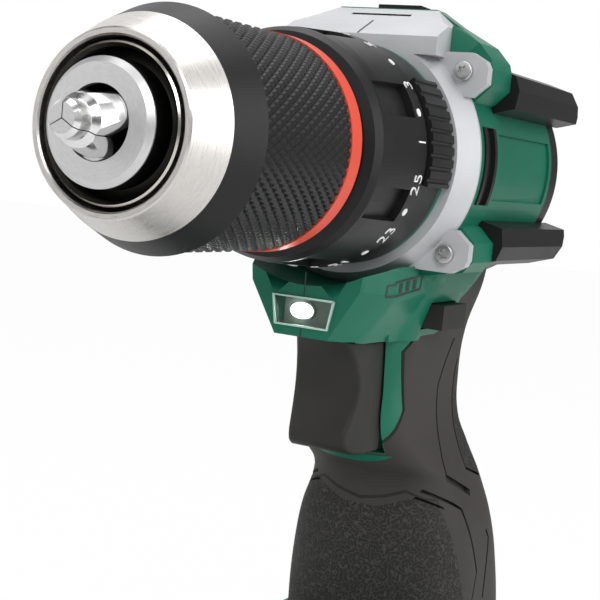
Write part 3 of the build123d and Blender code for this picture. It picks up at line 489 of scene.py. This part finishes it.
def ribbon(name, points, across):
    """Flat strip along a path: an edge as wide as the strip, drawn out from point to point."""
    strip = lone_point(name, Vector(points[0]) - Vector(across) / 2)
    bpy.ops.mesh.extrude_region_move(TRANSFORM_OT_translate={"value": Vector(across)})
    bpy.ops.mesh.select_all(action="SELECT")
    draw_out(points)
    bpy.ops.object.mode_set(mode="OBJECT")
    return strip


def lay_on(piece, target, axis, positive, rise, cuts=5):
    """Projects a flat sheet along X, Y or Z on to another mesh, a little proud of it."""
    pick(piece)
    bpy.ops.object.mode_set(mode="EDIT")
    bpy.ops.mesh.select_all(action="SELECT")
    bpy.ops.mesh.subdivide(number_cuts=cuts)
    bpy.ops.object.mode_set(mode="OBJECT")
    modify(piece, "SHRINKWRAP", target=target, wrap_method="PROJECT", offset=rise,
           use_project_x=axis == "X", use_project_y=axis == "Y", use_project_z=axis == "Z",
           use_positive_direction=positive, use_negative_direction=not positive)


sight = ribbon("sight_line", [(0, sight_front, above_drill), (0, sight_back, above_drill)],
               (sight_wide, 0, 0))
lay_on(sight, nodes["gear_case"], "Z", False, sight_rise)
coat(sight, plain("dark_line", (0.02, 0.02, 0.021), 0.6))
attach(sight, "housing")

# Pan-head steel screws with a six-lobe recess hold the gear case to the housing at
# its four ears.
low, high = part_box("gear_case_screws")
head_r = 0.0021
head_rim = 0.0003
recess_r = 0.00125
recess_deep = 0.0007
recess_turn = 0.35


def carve(piece, tool, operation="DIFFERENCE"):
    """Cuts one closed mesh with another, and clears the tool away."""
    modify(piece, "BOOLEAN", operation=operation, solver="EXACT", object=tool)
    bpy.data.objects.remove(tool)


screws = []
for side_x in (-1, 1):
    for side_z in (-1, 1):
        x = side_x * (high[0] - head_r)
        z = axis_height + side_z * ((high[2] - low[2]) / 2 - head_r)
        screw = rod(48, head_r, high[1] - low[1], (x, (low[1] + high[1]) / 2, z))
        modify(screw, "BEVEL", width=head_rim, segments=3)
        # the six lobes are two three-sided cuts
        for turn_by in (recess_turn, recess_turn + pi / 3):
            carve(screw, rod(3, recess_r, 2 * recess_deep, (x, low[1], z), turn_by))
        bpy.ops.object.transform_apply(location=True, rotation=True, scale=True)
        bpy.ops.object.shade_smooth_by_angle(angle=radians(35))
        screws.append(screw)
ear_screws = joined("ear_screws", screws)
screw_steel = moulded("plated_screws", (0.50, 0.50, 0.50), 0.32, size=0.0003, depth=0.000004, spread=0.1)
screw_steel.node_tree.nodes["Principled BSDF"].inputs["Metallic"].default_value = 1.0
coat(ear_screws, screw_steel)
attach(ear_screws, "housing")
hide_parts("gear_case_screws")

# ---------------------------------------------------------------- motor and gears
# Sintered steel gears in two planetary stages, a laminated steel motor and wound
# steel springs. The fan, clutch nut, switch body and terminal block are nylon.
gear_steel = turned("gear_steel", (0.45, 0.44, 0.43), 0.3)
for stage in ("1", "2"):
    dress(gear_steel, "ring_gear_" + stage)
    for planet in ("1", "2", "3"):
        dress(gear_steel, "planet_" + stage + "_" + planet)
dress(gear_steel, "spindle_bush", "carrier_1", "shift_fork", "motor_rotor", "motor_stator", "motor_plate",
      "rear_bearing", "trigger_spring", "clutch_spring", "latch_spring")
dress(black_nylon, "motor_fan", "clutch_nut", "switch_body", "terminal_block")

# ---------------------------------------------------------------- housing
# Glass-filled nylon in two halves, closed by steel screws. A battery gauge is printed
# on the left shoulder: an outline with a contact at its end, and three bars.
gauge_slope = 0.09
gauge_line = 0.0005
gauge_rise = 0.0001
beside_shoulder = 0.03
gauge_back, gauge_end, gauge_tip = -0.0305, -0.0442, -0.0464
gauge_top, gauge_low = -0.0254, -0.0285
tip_top = gauge_top - 0.0006
bar_middle = -0.02695
bar_high = 0.0021
bars = ((-0.0424, -0.0407), (-0.0388, -0.0370), (-0.0350, -0.0332))
dark_green = plain("dark_green_print", (0.001, 0.014, 0.010), 0.45)
dress(polished, "housing_screws")


def gauge_point(y, z):
    """Point beside the shoulder; the gauge leans with the shoulder's edge."""
    return (beside_shoulder, y, axis_height + z + (y - gauge_back) * gauge_slope)


def gauge_mark(start, end, across):
    """Printed stroke from one point of the gauge to another."""
    return ribbon("gauge", [gauge_point(*start), gauge_point(*end)], across)


gauge_marks = [
    gauge_mark((gauge_back, gauge_top), (gauge_end, gauge_top), (0, 0, gauge_line)),
    gauge_mark((gauge_end, tip_top), (gauge_tip, tip_top), (0, 0, gauge_line)),
    gauge_mark((gauge_back, gauge_low), (gauge_tip, gauge_low), (0, 0, gauge_line)),
]
for start, end in bars:
    gauge_marks.append(gauge_mark((start, bar_middle), (end, bar_middle), (0, 0, bar_high)))
for y, top, foot in ((gauge_back, gauge_top, gauge_low), (gauge_end, gauge_top, tip_top),
                     (gauge_tip, tip_top, gauge_low)):
    gauge_marks.append(gauge_mark((y, top), (y, foot), (0, gauge_line, 0)))
gauge = joined("battery_gauge", gauge_marks)
lay_on(gauge, nodes["housing_left"], "X", False, gauge_rise, cuts=6)
coat(gauge, dark_green)
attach(gauge, "housing")

# ---------------------------------------------------------------- grip
# Soft rubber moulded over the handle core. A fine maze is moulded into the front
# of the handle and into the strip down its back.
maze_step = 0.00018
maze_cloud = 0.19
maze_line = (0.035, 0.075)
maze_raise = 0.00012
maze_strength = 0.6
strip_top = -0.0465
painted_half, painted_back, painted_floor = 0.0099, -0.0195, -0.0686


def maze_group():
    """Mask of the lines of a fine maze, in square steps."""
    group = bpy.data.node_groups.new("moulded_maze", "ShaderNodeTree")
    group.interface.new_socket("Step", in_out="INPUT", socket_type="NodeSocketFloat")
    group.interface.new_socket("Lines", in_out="OUTPUT", socket_type="NodeSocketFloat")
    step = group.nodes.new("NodeGroupInput").outputs[0]
    leave = group.nodes.new("NodeGroupOutput")
    place = group.nodes.new("ShaderNodeTexCoord").outputs["Object"]
    pace = add_node(group, "ShaderNodeCombineXYZ", {0: step, 1: step, 2: step})
    snapped = add_node(group, "ShaderNodeVectorMath", {0: place, 1: pace.outputs[0]}, operation="SNAP")
    scale = maths(group, "DIVIDE", maze_cloud, step)
    cloud = add_node(group, "ShaderNodeTexNoise", {
        "Vector": snapped.outputs[0], "Scale": scale, "Detail": 0.0,
    })
    fold = maths(group, "ABSOLUTE", maths(group, "SUBTRACT", cloud.outputs["Fac"], 0.5))
    group.links.new(ranged(group, fold, maze_line, (1.0, 0.0)), leave.inputs["Lines"])
    return group


def below(tree, value, limit):
    """Mask that is 1 where a value is under a limit."""
    return maths(tree, "LESS_THAN", value, limit)


def times(tree, *masks):
    """Product of masks."""
    value = masks[0]
    for mask in masks[1:]:
        value = maths(tree, "MULTIPLY", value, mask)
    return value


rubber = moulded("grip_rubber", (0.040, 0.0365, 0.034), 0.62, size=0.0005, depth=0.00003)
tree = rubber.node_tree
axes = object_axes(tree)
height = maths(tree, "SUBTRACT", axes["Z"], axis_height)
wide = maths(tree, "ABSOLUTE", axes["X"])
# front panel: under its upper edge and in front of its side border
upper_edge = ranged(tree, wide, (0.0045, 0.0125), (-0.0838, -0.0808))
border = ranged(tree, height, (-0.107, -0.0833), (0.0023, -0.0050))
front_panel = times(tree, below(tree, height, upper_edge), below(tree, axes["Y"], border))
# strip down the back, behind its groove
strip_edge = ranged(tree, height, (-0.0755, -0.0575), (0.0112, 0.0080))
strip_foot = ranged(tree, axes["Y"], (0.0106, 0.0194), (-0.0750, -0.0779))
back_strip = times(tree, above(tree, axes["Y"], strip_edge), above(tree, height, strip_foot),
                   below(tree, height, strip_top))
panel = maths(tree, "MAXIMUM", front_panel, back_strip)
maze = add_node(tree, "ShaderNodeGroup", node_tree=maze_group())
maze.inputs["Step"].default_value = maze_step
lines = times(tree, maze.outputs["Lines"], panel)
second_colour(rubber, panel, (0.017, 0.0162, 0.0155))
second_colour(rubber, maths(tree, "MULTIPLY", lines, maze_strength), (0.075, 0.071, 0.067))
# the pocket that the trigger slides into shows the green of the housing
pocket = times(tree, below(tree, wide, painted_half), below(tree, axes["Y"], painted_back),
               above(tree, height, painted_floor))
second_colour(rubber, pocket, green)
shader = tree.nodes["Principled BSDF"]
relief = add_node(tree, "ShaderNodeBump", {
    "Height": lines, "Distance": maze_raise, "Strength": 1.0,
    "Normal": shader.inputs["Normal"].links[0].from_socket,
})
tree.links.new(relief.outputs[0], shader.inputs["Normal"])

# The handle's outline, from the barrel down to the foot: height from the chuck axis,
# half width, half depth, middle and corner of each soft rectangle.
grip_sections = (
    (-0.0200, 0.0184, 0.0259, -0.0074, 0.0112), (-0.0280, 0.0176, 0.0254, -0.0075, 0.0109),
    (-0.0400, 0.0148, 0.0237, -0.0079, 0.0102), (-0.0520, 0.0133, 0.0244, -0.0066, 0.0099),
    (-0.0620, 0.0136, 0.0253, -0.0050, 0.0106), (-0.0700, 0.0156, 0.0249, 0.0010, 0.0126),
    (-0.0780, 0.0188, 0.0226, 0.0087, 0.0160), (-0.0900, 0.0226, 0.0252, 0.0111, 0.0192),
    (-0.1040, 0.0242, 0.0276, 0.0133, 0.0205), (-0.1185, 0.0248, 0.0290, 0.0158, 0.0210),
)
corner_steps = 9
rise_steps = 5
# side view, as (y, height from the chuck axis): where the rubber ends against the green front
green_edge = (
    (0.0044, -0.0245), (-0.0058, -0.0317), (-0.0140, -0.0374), (-0.0228, -0.0389),
    (-0.0265, -0.0437), (-0.0230, -0.0575), (-0.0263, -0.0655), (-0.0260, -0.0682),
)
green_floor = green_edge[-1][1]
edge_gap = 0.0007
# side view: width and route of each groove in the rubber
grooves = (
    (0.0008, ((0.0014, -0.0420), (-0.0031, -0.0535), (-0.0024, -0.0635), (-0.0024, -0.0706),
              (-0.0026, -0.0760))),
    (0.0017, ((-0.0026, -0.0760), (0.0080, -0.0805), (0.0095, -0.0813))),
    (0.0008, ((-0.0090, -0.0788), (-0.0008, -0.0825), (0.0023, -0.0841), (0.0095, -0.1009),
              (0.0070, -0.1073), (0.0055, -0.1130))),
    (0.0010, ((0.0163, -0.0914), (0.0178, -0.0935), (0.0146, -0.1086))),
    (0.0006, ((-0.0098, -0.0806), (-0.0038, -0.0833))),
    (0.0007, ((0.0073, -0.0477), (0.0070, -0.0516), (0.0074, -0.0575), (0.0085, -0.0650),
              (0.0095, -0.0703), (0.0106, -0.0755), (0.0194, -0.0784))),
)
groove_deep = 0.0014
barrel_r = 0.02865
barrel_long = 0.12
past_handle = 0.04
zone_front, zone_top = -0.07, -0.005
pocket_half = 0.0098
pocket_front, pocket_back = -0.06, -0.0200
rubber_floor, rubber_roof = -0.0684, -0.0410
selector_way = ((-0.0233, -0.0384), (-0.0233, -0.0315), (-0.0084, -0.0315), (-0.0084, -0.0384))


def handle_form(name, inset=0.0):
    """Closed form of the handle, drawn through its sections."""
    rings = []
    for height, half_width, half_depth, middle, corner in grip_sections:
        bpy.ops.object.select_all(action="DESELECT")
        bpy.ops.mesh.primitive_plane_add(size=2.0, location=(0, 0, 0))
        ring = bpy.context.object
        ring.scale = (half_width - inset, half_depth - inset, 1.0)
        bpy.ops.object.transform_apply(location=True, rotation=True, scale=True)
        bpy.ops.object.mode_set(mode="EDIT")
        bpy.ops.mesh.select_all(action="SELECT")
        bpy.ops.mesh.bevel(offset=corner - inset, offset_type="OFFSET", segments=corner_steps,
                           affect="VERTICES")
        bpy.ops.mesh.select_all(action="SELECT")
        bpy.ops.transform.translate(value=(0, middle, axis_height + height))
        bpy.ops.mesh.delete(type="ONLY_FACE")
        bpy.ops.object.mode_set(mode="OBJECT")
        rings.append(ring)
    form = joined(name, rings)
    bpy.ops.object.mode_set(mode="EDIT")
    bpy.ops.mesh.select_all(action="SELECT")
    bpy.ops.mesh.bridge_edge_loops(number_cuts=rise_steps, interpolation="SURFACE", smoothness=1.0)
    bpy.ops.mesh.select_all(action="SELECT")
    bpy.ops.mesh.fill_holes(sides=0)
    bpy.ops.mesh.select_all(action="SELECT")
    bpy.ops.mesh.normals_make_consistent(inside=False)
    bpy.ops.object.mode_set(mode="OBJECT")
    return form


def side_prism(name, outline, half):
    """Solid with an outline in the side view, given with heights from the chuck axis."""
    points = [Vector((-half, y, axis_height + z)) for y, z in outline]
    solid = lone_point(name, points[0])
    draw_out(points)
    bpy.ops.mesh.select_all(action="SELECT")
    bpy.ops.mesh.edge_face_add()
    bpy.ops.mesh.extrude_region_move(TRANSFORM_OT_translate={"value": (2 * half, 0, 0)})
    bpy.ops.mesh.select_all(action="SELECT")
    bpy.ops.mesh.normals_make_consistent(inside=False)
    bpy.ops.object.mode_set(mode="OBJECT")
    return solid


def band(points, width):
    """Outline of a line of one width through points."""
    one_side = []
    other_side = []
    for index, point in enumerate(points):
        before = Vector(points[max(index - 1, 0)])
        after = Vector(points[min(index + 1, len(points) - 1)])
        along = (after - before).normalized()
        out = Vector((-along.y, along.x)) * width / 2
        one_side.append(tuple(Vector(point) + out))
        other_side.append(tuple(Vector(point) - out))
    return one_side + other_side[::-1]


def front_outline(gap, floor):
    """Side outline of the green front, wider by a gap, down to its floor."""
    edge = [(y + gap, z) for y, z in green_edge[:-1]] + [(green_edge[-1][0] + gap, floor)]
    return [(zone_front, zone_top), (edge[0][0], zone_top)] + edge + [(zone_front, floor)]


def pocket_tool(floor, roof):
    """Box of the pocket that the trigger slides into, with heights from the chuck axis."""
    bpy.ops.object.select_all(action="DESELECT")
    bpy.ops.mesh.primitive_cube_add(size=1.0, location=(0, (pocket_front + pocket_back) / 2,
                                                        axis_height + (floor + roof) / 2))
    tool = bpy.context.object
    tool.scale = (2 * pocket_half, pocket_back - pocket_front, roof - floor)
    bpy.ops.object.transform_apply(location=True, rotation=True, scale=True)
    return tool


def round_barrel():
    """Cylinder of the barrel's outside, which the handle ends against."""
    barrel = rod(128, barrel_r, barrel_long, (0, 0, axis_height))
    bpy.ops.object.transform_apply(location=True, rotation=True, scale=True)
    return barrel


# grooves are cut to one depth: their prisms without the core of the handle
strips = [side_prism("groove", band(points, width), past_handle) for width, points in grooves]
trench = strips[0]
for strip in strips[1:]:
    carve(trench, strip, "UNION")
carve(trench, handle_form("core", groove_deep))

grip_form = handle_form("rubber_handle")
carve(grip_form, side_prism("front_zone", front_outline(edge_gap, rubber_floor), past_handle))
carve(grip_form, trench)
carve(grip_form, round_barrel())
carve(grip_form, pocket_tool(rubber_floor, rubber_roof))
carve(grip_form, side_prism("selector_way", selector_way, past_handle))
bpy.ops.object.shade_smooth_by_angle(angle=radians(32))
coat(grip_form, rubber)
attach(grip_form, "housing")
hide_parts("grip_left", "grip_right")

# The housing's own part of the handle: the green front round the trigger, with the
# pocket that the trigger slides into. It closes the two halves of the housing.
front_inset = 0.0002
front_floor, front_roof = -0.0679, -0.0405
past_housing = 0.05
seam_weld = 0.000002
room_front, room_corner, room_back = -0.06, -0.0120, 0.045
room_roof, room_step, room_floor = -0.0290, -0.0411, -0.1172
green_plastic = moulded("green_plastic", green, 0.36, size=0.0005, depth=0.00001, spread=0.08)
green_front = handle_form("green_front", front_inset)
carve(green_front, side_prism("front_zone", front_outline(0.0, green_floor), past_handle), "INTERSECT")
carve(green_front, pocket_tool(front_floor, front_roof))
carve(green_front, side_prism("selector_way", selector_way, past_handle))
carve(green_front, round_barrel())
bpy.ops.object.shade_smooth_by_angle(angle=radians(32))
pick(nodes["housing_left"])
nodes["housing_right"].select_set(True)
bpy.ops.object.duplicate()
bpy.ops.object.join()
shell = bpy.context.object
bpy.ops.object.mode_set(mode="EDIT")
bpy.ops.mesh.select_all(action="SELECT")
bpy.ops.mesh.remove_doubles(threshold=seam_weld)
bpy.ops.object.mode_set(mode="OBJECT")
handle_room = ((room_front, room_step), (room_corner, room_step), (0.0, room_roof),
               (room_back, room_roof), (room_back, room_floor), (room_front, room_floor))
carve(shell, side_prism("handle_room", handle_room, past_housing))
shell = joined("housing_shell", [shell, green_front])
bpy.ops.object.shade_smooth_by_angle(angle=radians(20))
modify(shell, "WEIGHTED_NORMAL", keep_sharp=True, weight=100)
coat(shell, green_plastic)
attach(shell, "housing")
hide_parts("housing_left", "housing_right")

# The upper border of the front panel is a thin groove, drawn as a flat dark strip of painted shade laid
# on the rubber; it dips in the middle.
groove_wide = 0.0008
groove_rise = 0.00004
ahead_of_grip = -0.045
half_path = [(0.0, -0.0824), (0.0063, -0.0810), (0.0110, -0.0792), (0.0157, -0.0815)]
path = [(-x, z) for x, z in reversed(half_path[1:])] + half_path
groove_shade_strip = ribbon("grip_groove_shade", [(x, ahead_of_grip, axis_height + z) for x, z in path],
                     (0, 0, groove_wide))
lay_on(groove_shade_strip, grip_form, "Y", True, groove_rise, cuts=6)
coat(groove_shade_strip, plain("groove_shadow", (0.006, 0.006, 0.006), 0.8))
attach(groove_shade_strip, "housing")

# Green lip of the housing that shows under the trigger: the lower part of an oval.
lip_half, lip_high = 0.0126, 0.0046
lip_middle = -0.0670
lip_top = -0.0692
lip_rise = 0.00006
ahead_of_lip = -0.06
bpy.ops.object.select_all(action="DESELECT")
bpy.ops.mesh.primitive_circle_add(vertices=48, radius=1.0, fill_type="TRIFAN", location=(0, 0, 0),
                                  rotation=(pi / 2, 0, 0))
lip = bpy.context.object
lip.name = "trigger_lip"
lip.scale = (lip_half, lip_high, 1.0)
lip.location = (0, ahead_of_lip, axis_height + lip_middle)
bpy.ops.object.transform_apply(location=True, rotation=True, scale=True)
bpy.ops.object.mode_set(mode="EDIT")
bpy.ops.mesh.select_all(action="SELECT")
bpy.ops.mesh.bisect(plane_co=(0, 0, axis_height + lip_top), plane_no=(0, 0, 1), clear_outer=True)
bpy.ops.object.mode_set(mode="OBJECT")
lay_on(lip, grip_form, "Y", True, lip_rise, cuts=3)
coat(lip, green_plastic)
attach(lip, "housing")

# ---------------------------------------------------------------- trigger and selector
# Satin nylon, a little warmer and lighter than the collars. The trigger is hollowed for
# the finger, tapers to its front edge and slides on the switch; the selector goes through.
trigger_half = 0.0093
taper_y = -0.0345
taper_normal = (0.945, -0.327)
trigger_round = 0.0016
trigger_side = (
    (-0.0438, -0.0411), (-0.0418, -0.0433), (-0.0399, -0.0462), (-0.0388, -0.0490), (-0.0382, -0.0520),
    (-0.0384, -0.0545), (-0.0391, -0.0572), (-0.0402, -0.0600), (-0.0414, -0.0627), (-0.0411, -0.0648),
    (-0.0399, -0.0663), (-0.0378, -0.0671), (-0.0350, -0.0674), (-0.0262, -0.0674), (-0.0262, -0.0411),
)
soft_nylon = moulded("soft_nylon", (0.022, 0.021, 0.020), 0.48, spread=0.1)
dress(soft_nylon, "selector")
trigger_form = side_prism("trigger_blade", trigger_side, trigger_half)
pick(trigger_form)
bpy.ops.object.mode_set(mode="EDIT")
for side in (-1, 1):
    bpy.ops.mesh.select_all(action="SELECT")
    bpy.ops.mesh.bisect(plane_co=(side * trigger_half, taper_y, 0),
                        plane_no=(side * taper_normal[0], taper_normal[1], 0),
                        use_fill=True, clear_outer=True)
bpy.ops.object.mode_set(mode="OBJECT")
modify(trigger_form, "BEVEL", width=trigger_round, segments=5,
       limit_method="ANGLE", angle_limit=radians(30))
bpy.ops.object.shade_smooth_by_angle(angle=radians(40))
coat(trigger_form, soft_nylon)
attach(trigger_form, "trigger")
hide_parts("trigger")

# ---------------------------------------------------------------- lamp
# Clear moulded lens, clipped into the nose of the housing in front of a small
# board with one white light-emitting diode.
led_half, led_high, led_thick = 0.0027, 0.0017, 0.0004
led_sunk = 0.0002
led_power = 7.0
led_place = (-0.0011, -0.0348)
line_proud = 0.00024
line_wide = 0.00035
line_ends = ((-0.0262, -0.0313), (-0.0385, -0.0403))
rim_proud = 0.0004
rim_top, rim_low = axis_height - 0.0318, axis_height - 0.0380
rim_top_half, rim_low_half = 0.00735, 0.0063
rim_deep, rim_wide = 0.0006, 0.0005
dress(moulded("circuit_board", (0.02, 0.12, 0.05), 0.4), "control_board")
dress(moulded("lamp_board", (0.16, 0.20, 0.18), 0.5), "led_board")
lit, tree, shader = new_material("lamp_light")
shader.inputs["Base Color"].default_value = (0.9, 0.9, 0.88, 1)
shader.inputs["Emission Color"].default_value = (1.0, 1.0, 0.97, 1)
shader.inputs["Emission Strength"].default_value = led_power
board_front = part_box("led_board")[0][1]
led = rod(48, 1.0, 1.0)
led.name = "lamp_light"
bpy.ops.object.transform_apply(location=True, rotation=True, scale=True)
led.scale = (led_half, led_thick, led_high)
led.location = (led_place[0], board_front - led_thick / 2 + led_sunk, axis_height + led_place[1])
bpy.ops.object.transform_apply(location=True, rotation=True, scale=True)
coat(led, lit)
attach(led, "housing")

# the halves of the housing meet in a fine line over and under the window
lens_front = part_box("led_lens")[0][1]
for top, foot in line_ends:
    part_line = ribbon("part_line", [(0, lens_front - line_proud, axis_height + top),
                                     (0, lens_front - line_proud, axis_height + foot)], (line_wide, 0, 0))
    coat(part_line, dark_green)
    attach(part_line, "housing")

# thin clear rim that stands proud of the nose round the window
rim_corners = [(rim_top_half, rim_top), (rim_low_half, rim_low), (-rim_low_half, rim_low),
               (-rim_top_half, rim_top), (rim_top_half, rim_top)]
rim = ribbon("lamp_rim", [(x, lens_front - rim_proud, z) for x, z in rim_corners], (0, rim_deep, 0))
modify(rim, "SOLIDIFY", thickness=rim_wide, offset=0.0)
coat(rim, moulded("lamp_rim_clear", (0.42, 0.62, 0.54), 0.15, depth=0.000002, spread=0.04, specular=0.5))
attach(rim, "housing")
lens = moulded("lamp_lens", (0.93, 0.97, 0.95), 0.06, size=0.0008, depth=0.000002, spread=0.02)
shader = lens.node_tree.nodes["Principled BSDF"]
shader.inputs["Transmission Weight"].default_value = 1.0
shader.inputs["IOR"].default_value = 1.35
dress(lens, "led_lens")

# ---------------------------------------------------------------- cap, bumpers and slider
# Black nylon parts that clip or screw on to the housing: the rear cap, two bumpers
# and a vent insert a side, and the speed slider in its slot on the roof.
dress(black_nylon, "rear_cap", "bumpers_left", "bumpers_right", "vent_inserts", "speed_slider")

# ---------------------------------------------------------------- battery pack
# Black nylon case and lid, with a T-rail that slides into the foot and a sprung
# latch. Ten cells in blue film lie inside.
dress(black_nylon, "pack_case", "pack_lid", "pack_latch")
dress(moulded("cell_wrap", (0.05, 0.16, 0.35), 0.3), "pack_cells")
